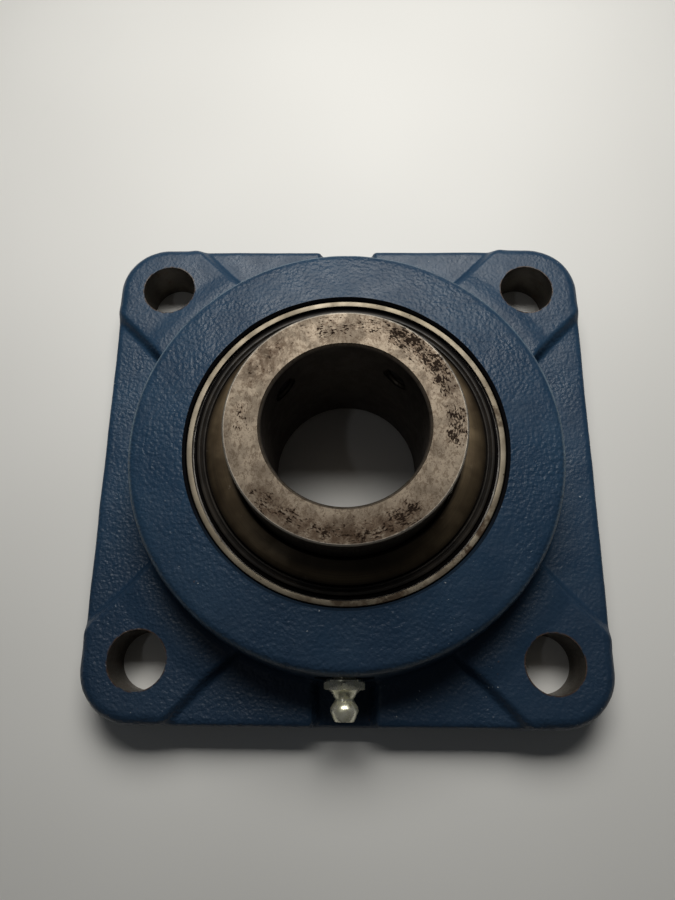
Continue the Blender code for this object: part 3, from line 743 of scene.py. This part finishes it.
class Finish:
    """A Principled material with a few short ways to add nodes. Wavelengths are in millimetres."""

    def __init__(self, name, metallic=0.0):
        self.material = bpy.data.materials.new(name)
        self.material.use_nodes = True
        self.tree = self.material.node_tree
        self.shader = self.tree.nodes["Principled BSDF"]
        self.shader.inputs["Metallic"].default_value = metallic
        self.point = self.add("ShaderNodeTexCoord").outputs["Object"]
        scaled = self.add("ShaderNodeVectorMath", operation="SCALE")
        self.set(scaled.inputs[0], self.point)
        scaled.inputs["Scale"].default_value = 1 / MM
        self.point = scaled.outputs[0]
        parts = self.add("ShaderNodeSeparateXYZ")
        self.set(parts.inputs[0], self.point)
        self.x, self.y, self.z = parts.outputs
        self.r = self.length(self.x, self.y)
        self.angle = self.math("MULTIPLY", self.math("ARCTAN2", self.y, self.x), 180 / math.pi)

    def add(self, kind, **settings):
        node = self.tree.nodes.new(kind)
        for key, value in settings.items():
            setattr(node, key, value)
        return node

    def set(self, socket, value):
        if isinstance(value, bpy.types.NodeSocket):
            self.tree.links.new(value, socket)
        else:
            socket.default_value = value

    def math(self, operation, a, b=0.0):
        node = self.add("ShaderNodeMath", operation=operation)
        self.set(node.inputs[0], a)
        self.set(node.inputs[1], b)
        return node.outputs[0]

    def length(self, x, y):
        return self.math("SQRT", self.math("ADD", self.math("POWER", x, 2), self.math("POWER", y, 2)))

    def rest(self, share):
        """What a share leaves of 1."""
        return self.math("SUBTRACT", 1.0, share)

    def times(self, *values):
        total = values[0]
        for value in values[1:]:
            total = self.math("MULTIPLY", total, value)
        return total

    def most(self, *values):
        total = values[0]
        for value in values[1:]:
            total = self.math("MAXIMUM", total, value)
        return total

    def noise(self, wavelength, detail=2.0, rough=0.5, shift=0.0, stretch=(1, 1, 1), warp=0.0):
        """Cloudy noise about 0.5. The shift moves it, so that two of them don't coincide."""
        placed = self.add("ShaderNodeMapping")
        self.set(placed.inputs["Vector"], self.point)
        placed.inputs["Location"].default_value = (shift, shift * 0.7, -shift * 0.4)
        placed.inputs["Scale"].default_value = stretch
        node = self.add("ShaderNodeTexNoise")
        self.set(node.inputs["Vector"], placed.outputs[0])
        node.inputs["Scale"].default_value = 1 / wavelength
        node.inputs["Detail"].default_value = detail
        node.inputs["Roughness"].default_value = rough
        node.inputs["Distortion"].default_value = warp
        return node.outputs[0]

    def polar_noise(self, around, across, detail=2.0, shift=0.0):
        """Noise in (angle, radius): around is its length in degrees, across in millimetres."""
        join = self.add("ShaderNodeCombineXYZ")
        self.set(join.inputs[0], self.math("DIVIDE", self.angle, around))
        self.set(join.inputs[1], self.math("DIVIDE", self.r, across))
        join.inputs[2].default_value = shift
        node = self.add("ShaderNodeTexNoise")
        self.set(node.inputs["Vector"], join.outputs[0])
        node.inputs["Scale"].default_value = 1.0
        node.inputs["Detail"].default_value = detail
        return node.outputs[0]

    def cells(self, wavelength, smooth):
        """Distance from the nearest of many scattered points, for a pebbled skin."""
        node = self.add("ShaderNodeTexVoronoi", feature="SMOOTH_F1")
        self.set(node.inputs["Vector"], self.point)
        node.inputs["Scale"].default_value = 1 / wavelength
        node.inputs["Smoothness"].default_value = smooth
        return node.outputs["Distance"]

    def band(self, value, low, high, out=(0.0, 1.0)):
        """Smooth step from out[0] to out[1] as value goes from low to high, which may be falling."""
        node = self.add("ShaderNodeMapRange", interpolation_type="SMOOTHSTEP")
        self.set(node.inputs["Value"], value)
        node.inputs["From Min"].default_value = low
        node.inputs["From Max"].default_value = high
        node.inputs["To Min"].default_value = out[0]
        node.inputs["To Max"].default_value = out[1]
        return node.outputs[0]

    def near(self, value, middle, width):
        """1 at middle, falling to 0 a width away."""
        gap = self.math("ABSOLUTE", self.math("SUBTRACT", value, middle))
        return self.band(gap, width, 0.0)

    def sector(self, middle, width):
        """1 at an angle round the axis, falling to 0 a width away, in degrees."""
        turned_by = self.math("ABSOLUTE", self.math("SUBTRACT", self.angle, middle))
        around = self.math("SUBTRACT", 360.0, turned_by)
        return self.band(self.math("MINIMUM", turned_by, around), width, width * 0.25)

    def mix(self, share, a, b):
        node = self.add("ShaderNodeMix", data_type="RGBA")
        self.set(node.inputs[0], share)
        for socket, value in ((node.inputs[6], a), (node.inputs[7], b)):
            self.set(socket, (*value, 1) if isinstance(value, tuple) else value)
        return node.outputs[2]

    def mottled(self, wavelength, shift, dark, light, low=0.35, high=0.65):
        """A colour that wanders between two."""
        return self.mix(self.band(self.noise(wavelength, 3, 0.6, shift), low, high), dark, light)

    def uneven(self, wavelength, shift, low, high):
        """A value that wanders between two."""
        return self.band(self.noise(wavelength, 2, 0.5, shift), 0.3, 0.7, (low, high))

    def bump(self, height, distance, strength=1.0):
        """Relief of the given distance in millimetres, laid over the relief added before it."""
        node = self.add("ShaderNodeBump")
        self.set(node.inputs["Height"], height)
        node.inputs["Distance"].default_value = distance * MM
        self.set(node.inputs["Strength"], strength)
        before = self.shader.inputs["Normal"]
        if before.is_linked:
            self.set(node.inputs["Normal"], before.links[0].from_socket)
        self.set(before, node.outputs[0])

    def look(self, colour, roughness):
        """Connects the finished colour and roughness, and hands over the material."""
        self.set(self.shader.inputs["Base Color"], (*colour, 1) if isinstance(colour, tuple) else colour)
        self.set(self.shader.inputs["Roughness"], roughness)
        return self.material

    def hole_distance(self):
        """Distance from the nearest bolt hole's axis."""
        x = self.math("SUBTRACT", self.math("ABSOLUTE", self.x), BOLT_PLACE)
        y = self.math("SUBTRACT", self.math("ABSOLUTE", self.y), BOLT_PLACE)
        return self.length(x, y)


def blue_enamel():
    """Thick glossy paint over a sand casting, with dust specks, rust at the hole rims, edge wear with a
    painted highlight along the boss edge, and painted shade towards -Y.
    """
    f = Finish("blue_enamel")
    skin = f.noise(0.8, 2.0, 0.45, 3.0)
    pebbles = f.cells(1.0, 0.8)
    fine = f.noise(0.35, 1.0, 0.5, 11.0)
    calm = f.times(f.band(f.noise(22, 1, 0.5, 5.0), 0.35, 0.62), f.band(f.x, -20, 45, (0.35, 0.85)))
    far_flange = f.times(f.band(f.y, 15, 40), f.band(f.z, 22, 18))
    strength = f.rest(f.most(f.times(calm, 0.65), f.times(far_flange, 0.5)))
    f.bump(f.noise(5, 1, 0.5, 2.0), 0.10, 0.5)
    f.bump(f.math("ADD", skin, f.times(pebbles, -0.6)), 0.25, strength)
    f.bump(fine, 0.03, 0.6)

    colour = f.mottled(18, 7.0, (0.013, 0.036, 0.072), (0.020, 0.050, 0.093), 0.3, 0.7)
    colour = f.mix(f.times(f.band(skin, 0.55, 0.75), 0.35), colour, (0.030, 0.062, 0.098))
    colour = f.mix(f.times(f.band(pebbles, 0.55, 0.8), 0.3), colour, (0.012, 0.030, 0.062))
    # Painted shade: the paint darkens towards -Y, the side turned away from the window.
    colour = f.mix(f.band(f.y, 5, -60, (0.0, 0.6)), colour, (0.013, 0.025, 0.046))

    # Edge wear and a painted highlight: a lighter line along the boss's front edge, stronger towards +Y,
    # where the window is.
    boss_edge = f.times(f.near(f.r, BOSS_R - 0.5, 0.7), f.near(f.z, SHOULDER_Z + 0.9, 1.2))
    scuffs = f.band(f.polar_noise(9, 30), 0.3, 0.6, (0.35, 0.95))
    wear_and_highlight = f.times(boss_edge, scuffs, f.band(f.y, -32, 8, (0.3, 1.0)))
    colour = f.mix(wear_and_highlight, colour, (0.13, 0.19, 0.24))
    rim = f.times(f.band(f.hole_distance(), 7.75, 7.35), f.band(f.noise(2.5, 2, 0.5, 9.0), 0.35, 0.55))
    colour = f.mix(rim, colour, (0.055, 0.032, 0.018))
    rusty_area = f.band(f.noise(15, 1, 0.5, 4.0), 0.5, 0.65)
    rust = f.times(f.band(f.noise(1.3, 2, 0.5, 21.0), 0.74, 0.80), rusty_area)
    colour = f.mix(rust, colour, (0.10, 0.045, 0.02))
    dusty_area = f.band(f.noise(20, 1, 0.5, 8.0), 0.52, 0.66)
    dust = f.times(f.band(f.noise(0.5, 0, 0.5, 31.0), 0.84, 0.87), dusty_area)
    colour = f.mix(f.times(dust, 0.8), colour, (0.42, 0.44, 0.45))

    rough = f.band(f.noise(7, 3, 0.6, 13.0), 0.3, 0.7, (0.33, 0.46))
    rough = f.math("ADD", rough, f.times(f.most(rust, dust, wear_and_highlight), 0.3))
    f.shader.inputs["Specular IOR Level"].default_value = 0.22
    f.shader.inputs["Coat Weight"].default_value = 0.03
    f.shader.inputs["Coat Roughness"].default_value = 0.22
    return f.look(colour, rough)


def bare_iron():
    """Drilled and turned cast iron: tool marks, brown film and rust, with a painted shadow in the boss
    mouth.
    """
    f = Finish("machined_cast_iron", 0.55)
    grain = f.noise(0.6, 3, 0.6, 1.0)
    rings = f.noise(0.5, 2, 0.5, 4.0, (0.15, 0.15, 1))
    colour = f.mottled(9, 2.0, (0.055, 0.047, 0.038), (0.12, 0.105, 0.085))
    colour = f.mix(f.times(f.band(grain, 0.5, 0.7), 0.5), colour, (0.17, 0.155, 0.13))
    rust = f.band(f.noise(3.5, 4, 0.65, 17.0), 0.56, 0.68)
    colour = f.mix(f.times(rust, 0.55), colour, (0.08, 0.038, 0.017))
    # Painted shadow of the gap at the boss mouth: near black with little sheen, turning dark blue
    # towards -Y, where no shadow falls.
    mouth = f.times(f.band(f.z, BOSS_TOP_Z - 7, BOSS_TOP_Z - 2), f.band(f.r, 42.5, 41.5))
    shade = f.mix(f.band(f.y, -32, -12), (0.009, 0.018, 0.032), (0.004, 0.004, 0.005))
    colour = f.mix(mouth, colour, shade)
    f.set(f.shader.inputs["Specular IOR Level"], f.band(mouth, 0, 1, (0.5, 0.05)))
    f.set(f.shader.inputs["Metallic"], f.band(mouth, 0, 1, (0.55, 0.0)))
    f.bump(rings, 0.05, 0.6)
    f.bump(grain, 0.03, 0.5)
    return f.look(colour, f.band(grain, 0.3, 0.7, (0.42, 0.62)))


def ground_ring():
    """The outer ring: bright ground land with storage film, a few rust stains, and painted shade below
    the collar and in the seal groove.
    """
    f = Finish("ground_bearing_steel", 0.92)
    grind = f.polar_noise(60, 0.12, 2)
    colour = f.mottled(10, 3.0, (0.142, 0.120, 0.087), (0.195, 0.168, 0.128), high=0.7)
    colour = f.mix(f.times(f.band(grind, 0.5, 0.75), 0.35), colour, (0.10, 0.082, 0.058))
    # Brown stains, and in the sector at -80 degrees painted shade, where the collar's shadow falls on
    # the land.
    stain_and_shade_sectors = f.most(f.sector(-38, 22), f.times(f.sector(-80, 40), 0.8), f.times(f.sector(12, 16), 0.6))
    stain_and_shade = f.times(stain_and_shade_sectors, f.band(f.noise(3.2, 4, 0.65, 5.0), 0.42, 0.62))
    colour = f.mix(f.times(stain_and_shade, 0.85), colour, (0.06, 0.035, 0.02))
    spots = f.band(f.noise(1.1, 2, 0.5, 23.0), 0.70, 0.76)
    colour = f.mix(f.times(spots, 0.8), colour, (0.035, 0.022, 0.015))
    # Painted shade in the seal groove and inside the ring.
    inside = f.band(f.r, SEAL_MOUTH_R + 0.1, SEAL_MOUTH_R - 0.05)
    colour = f.mix(f.times(inside, 0.8), colour, (0.06, 0.05, 0.04))
    f.bump(grind, 0.01, 0.5)
    f.bump(spots, 0.03, 0.4)
    rough = f.math("ADD", f.uneven(4, 9.0, 0.46, 0.58), f.times(f.most(stain_and_shade, spots), 0.25))
    return f.look(colour, rough)


def stained_collar():
    """The collar: fine ground face, dark pits to the upper right, brown smudges elsewhere, a painted
    highlight along its outer edge, and painted shade down its side and in the bore.
    """
    f = Finish("ground_collar_steel", 0.92)
    grain = f.noise(0.8, 4, 0.75, 1.0, (1.0, 0.6, 1.0), 0.5)
    film = f.band(f.noise(5, 4, 0.7, 3.0), 0.3, 0.7)
    colour = f.mix(film, (0.160, 0.130, 0.098), (0.212, 0.176, 0.134))
    colour = f.mix(f.times(f.band(grain, 0.49, 0.58), 0.7), colour, (0.088, 0.065, 0.045))

    face_z = AXIS_Z + FACE
    front = f.band(f.z, face_z - 0.3, face_z - 0.05)
    blotches = f.noise(1.9, 4, 0.7, 12.0)
    pits = f.polar_noise(1.9, 0.42, 3, 6.0)
    speckle = f.band(f.noise(0.55, 3, 0.65, 18.0), 0.58, 0.66)
    heavy = f.times(f.sector(46, 46), f.near(f.r, 25.2, 5.4))
    right = f.times(f.sector(0, 18), f.near(f.r, 25.0, 4.5))
    low = f.times(f.sector(-84, 56), f.near(f.r, 25.6, 6.4))
    low_right = f.times(f.sector(-58, 17), f.near(f.r, 24.4, 4.2))
    low_left = f.times(f.sector(-127, 24), f.near(f.r, 25.0, 4.8))
    left = f.times(f.sector(175, 16), f.near(f.r, 24.0, 4.0))
    top = f.times(f.sector(92, 32), f.near(f.r, 24.0, 5.0))
    smudge = f.times(f.sector(140, 28), f.near(f.r, 24.0, 5.5))

    worst = f.most(heavy, f.times(right, 0.9), f.times(low_left, 0.72), f.times(low_right, 0.9))
    worst = f.most(worst, f.times(low, 0.7), f.times(left, 0.5))
    worst = f.most(worst, f.times(top, 0.55), f.times(smudge, 0.3))
    coarse = f.math("ADD", f.times(blotches, 0.5), f.times(pits, 0.5))
    gate = f.math("ADD", coarse, f.times(worst, 0.16))
    pitted = f.times(f.band(gate, 0.630, 0.675), f.band(worst, 0.02, 0.25))
    pepper = f.band(f.noise(0.6, 3, 0.7, 41.0, (1, 1, 1), 0.4), 0.52, 0.62)
    peppered = f.times(pepper, worst, f.band(gate, 0.50, 0.62))
    haze = f.most(low, f.times(low_left, 0.8), f.times(smudge, 0.8), f.times(heavy, 0.4), 0.12)
    haze = f.times(haze, f.band(f.noise(3.4, 5, 0.75, 27.0, (1, 1, 1), 0.8), 0.34, 0.56))
    colour = f.mix(f.times(haze, front, 0.9), colour, (0.074, 0.047, 0.030))
    colour = f.mix(f.times(speckle, front, 0.6), colour, (0.07, 0.048, 0.035))
    halo = f.times(f.band(gate, 0.565, 0.640), f.band(worst, 0.02, 0.25))
    colour = f.mix(f.times(halo, front, 0.45), colour, (0.085, 0.055, 0.035))
    colour = f.mix(f.times(f.most(pitted, peppered), front, 0.92), colour, (0.026, 0.016, 0.011))

    # Painted highlight: a bright line along the collar's outer edge.
    rim = f.times(f.near(f.r, COLLAR_R - 0.25, 0.4), f.band(f.z, face_z - 0.7, face_z - 0.2))
    colour = f.mix(f.times(rim, 0.6), colour, (0.60, 0.56, 0.49))
    # Painted shade down the bore.
    in_bore = f.times(f.band(f.r, SHAFT_R + 0.35, SHAFT_R + 0.1), f.band(f.z, face_z, face_z - 0.3))
    colour = f.mix(f.times(in_bore, 0.85), colour, (0.075, 0.064, 0.056))
    # Painted shade down the collar's side.
    collar_side_shade = f.times(f.band(f.r, COLLAR_R - 0.1, COLLAR_R - 0.02), f.band(f.z, face_z, face_z - 0.6))
    colour = f.mix(f.times(collar_side_shade, 0.9), colour, (0.045, 0.036, 0.027))

    f.bump(grain, 0.012, 0.5)
    f.bump(f.rest(pitted), 0.06, f.times(front, 0.7))
    f.bump(f.noise(0.4, 1, 0.5, 2.0, (0.1, 0.1, 1.0)), 0.012, f.times(f.rest(front), 0.6))
    rough = f.band(film, 0.2, 0.8, (0.60, 0.50))
    rough = f.math("ADD", rough, f.times(f.most(pitted, f.times(haze, 0.5)), 0.3))
    return f.look(colour, rough)


def dark_slinger():
    """Pressed slinger: bronze-brown passivation, with painted shade at its outer edge, by the collar and
    towards -Y.
    """
    f = Finish("dark_slinger_steel", 0.85)
    spun = f.polar_noise(70, 0.25, 3)
    colour = f.mottled(9, 5.0, (0.096, 0.068, 0.040), (0.150, 0.110, 0.064))
    colour = f.mix(f.times(f.band(spun, 0.45, 0.7), 0.4), colour, (0.07, 0.052, 0.036))
    # Painted shade at the outer edge, by the gap to the seal.
    bevel_shade = f.band(f.r, 33.2, 34.3)
    colour = f.mix(f.times(bevel_shade, 0.7), colour, (0.035, 0.027, 0.02))
    # Painted shade: at the inner edge by the collar, and wider towards -Y, where the collar's shadow
    # falls.
    root = f.most(f.band(f.r, 29.6, 28.6), f.times(f.sector(-95, 60), f.band(f.r, 33.0, 30.5)))
    colour = f.mix(f.times(root, 0.75), colour, (0.02, 0.016, 0.012))
    marks = f.band(f.noise(1.6, 3, 0.6, 14.0), 0.68, 0.75)
    colour = f.mix(f.times(marks, 0.5), colour, (0.24, 0.20, 0.15))
    f.bump(spun, 0.015, 0.6)
    f.bump(marks, 0.02, 0.5)
    return f.look(colour, f.uneven(5, 6.0, 0.36, 0.5))


def seal_rubber():
    """Oily nitrile rubber with fine concentric mould lines, and painted shade, near black, where it lies
    deep.
    """
    f = Finish("nitrile_rubber")
    lines = f.polar_noise(120, 0.2, 1)
    colour = f.mottled(6, 1.0, (0.012, 0.010, 0.008), (0.026, 0.021, 0.016))
    dust = f.band(f.noise(0.7, 2, 0.5, 8.0), 0.72, 0.78)
    colour = f.mix(f.times(dust, 0.4), colour, (0.10, 0.085, 0.07))
    # Painted shade: near black, and with little specular, where the rubber lies deep.
    raised = f.band(f.z, AXIS_Z + 7.8, AXIS_Z + 8.3)
    colour = f.mix(raised, (0.0025, 0.002, 0.002), colour)
    f.bump(lines, 0.02, 0.4)
    f.bump(f.noise(0.4, 2, 0.5, 2.0), 0.01, 0.5)
    f.set(f.shader.inputs["Specular IOR Level"], f.band(raised, 0, 1, (0.02, 0.22)))
    return f.look(colour, f.uneven(3, 3.0, 0.36, 0.5))


def yellow_zinc():
    """Passivated zinc plating with dull patches."""
    f = Finish("yellow_zinc", 0.75)
    colour = f.mottled(2.5, 2.0, (0.74, 0.72, 0.53), (0.90, 0.88, 0.74))
    dull = f.band(f.noise(1.0, 3, 0.6, 9.0), 0.6, 0.72)
    colour = f.mix(f.times(dull, 0.6), colour, (0.30, 0.27, 0.19))
    f.bump(f.noise(0.3, 2, 0.6, 3.0), 0.012, 0.6)
    f.bump(dull, 0.015, 0.4)
    return f.look(colour, f.uneven(1.4, 5.0, 0.20, 0.36))


def plain_steel(name, dark, light, rough, wavelength=2.0, metallic=0.95):
    """Steel for the small and hidden pieces: mottled, with fine marks and a varying sheen."""
    f = Finish(name, metallic)
    colour = f.mottled(wavelength, 2.0, dark, light)
    marks = f.band(f.noise(wavelength * 0.35, 3, 0.6, 9.0), 0.64, 0.74)
    colour = f.mix(f.times(marks, 0.5), colour, tuple(0.55 * c for c in dark))
    f.bump(f.noise(wavelength * 0.12, 2, 0.5, 4.0), 0.006, 0.6)
    f.bump(marks, 0.01, 0.4)
    return f.look(colour, f.uneven(wavelength, 7.0, rough * 0.8, rough * 1.25))


# Studio


def build_floor():
    """A plain pale table top, slightly uneven in tone."""
    f = Finish("pale_table")
    colour = f.mix(f.band(f.noise(160, 2, 0.5, 2.0), 0.3, 0.7), (0.66, 0.655, 0.63), (0.72, 0.715, 0.69))
    f.bump(f.noise(1.2, 2, 0.5, 3.0), 0.02, 0.3)
    f.look(colour, 0.55)
    bm = bmesh.new()
    reach = 1500
    corners = ((-reach, -reach), (reach, -reach), (reach, reach), (-reach, reach))
    bm.faces.new([bm.verts.new((x, y, 0)) for x, y in corners])
    floor = put("floor", finished("floor", bm), f.material)
    floor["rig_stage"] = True


def area_light(name, place_m, aim_m, size_m, watts, colour, spread_deg):
    light = bpy.data.lights.new(name, "AREA")
    light.shape = "RECTANGLE"
    light.size, light.size_y = size_m
    light.energy = watts
    light.color = colour
    light.spread = math.radians(spread_deg)
    obj = bpy.data.objects.new(name, light)
    obj.location = place_m
    obj.rotation_euler = (Vector(aim_m) - Vector(place_m)).to_track_quat("-Z", "Y").to_euler()
    bpy.context.scene.collection.objects.link(obj)
    obj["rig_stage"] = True


def build_lights():
    """A window beyond the object, a small lamp over its near left corner, and a dim room."""
    area_light(
        "window", (0.005, 0.31, 0.42), (0.005, 0.11, 0),
        size_m=(0.34, 0.26), watts=0.66, colour=(1.0, 0.985, 0.95), spread_deg=79,
    )
    area_light(
        "lamp", (-0.22, -0.12, 0.50), (0, 0, 0),
        size_m=(0.02, 0.02), watts=0.04, colour=(0.95, 0.97, 1.0), spread_deg=180,
    )
    world = bpy.data.worlds.new("room")
    world.use_nodes = True
    background = world.node_tree.nodes["Background"]
    background.inputs["Color"].default_value = (0.9, 0.95, 1.0, 1)
    background.inputs["Strength"].default_value = 0.03
    bpy.context.scene.world = world


def build_camera():
    """The photo's view, as fitted to the holes, the bore and the boss."""
    data = bpy.data.cameras.new("camera")
    data.lens = 28.24
    data.sensor_width = 36.0
    camera = bpy.data.objects.new("camera", data)
    camera.location = (0.00146, -0.05256, 0.19316)
    camera.rotation_euler = [math.radians(a) for a in (17.225, 1.026, 0.529)]
    data.clip_start = 0.005
    bpy.context.scene.collection.objects.link(camera)
    bpy.context.scene.camera = camera
    bpy.context.scene.view_settings.view_transform = "Standard"


def main():
    ball_steel = plain_steel("polished_ball_steel", (0.62, 0.62, 0.61), (0.76, 0.76, 0.75), 0.10, 3.0)
    build_housing(blue_enamel(), bare_iron())
    build_outer_ring(ground_ring())
    build_inner_ring(stained_collar())
    build_balls(ball_steel)
    cage_steel = plain_steel("cage_sheet_steel", (0.40, 0.38, 0.34), (0.55, 0.53, 0.48), 0.35, 2.5)
    build_cage(cage_steel)
    build_rivets(cage_steel)
    plate_steel = plain_steel("seal_plate_steel", (0.28, 0.26, 0.24), (0.38, 0.36, 0.33), 0.4, 3.0)
    build_closures(seal_rubber(), plate_steel, dark_slinger())
    black = plain_steel("black_oxide", (0.010, 0.009, 0.008), (0.026, 0.023, 0.020), 0.5, 1.2, 0.4)
    build_screws(black)
    build_pin(plain_steel("pin_steel", (0.45, 0.44, 0.42), (0.60, 0.59, 0.56), 0.3, 1.5))
    wire = plain_steel("spring_wire", (0.38, 0.38, 0.38), (0.52, 0.52, 0.51), 0.3, 0.8)
    build_nipple(yellow_zinc())
    build_check_ball(ball_steel)
    build_spring(wire)
    build_floor()
    build_lights()
    build_camera()


main()
size_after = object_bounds()
[[list(corner) for corner in size] for size in (size_before, size_after)]
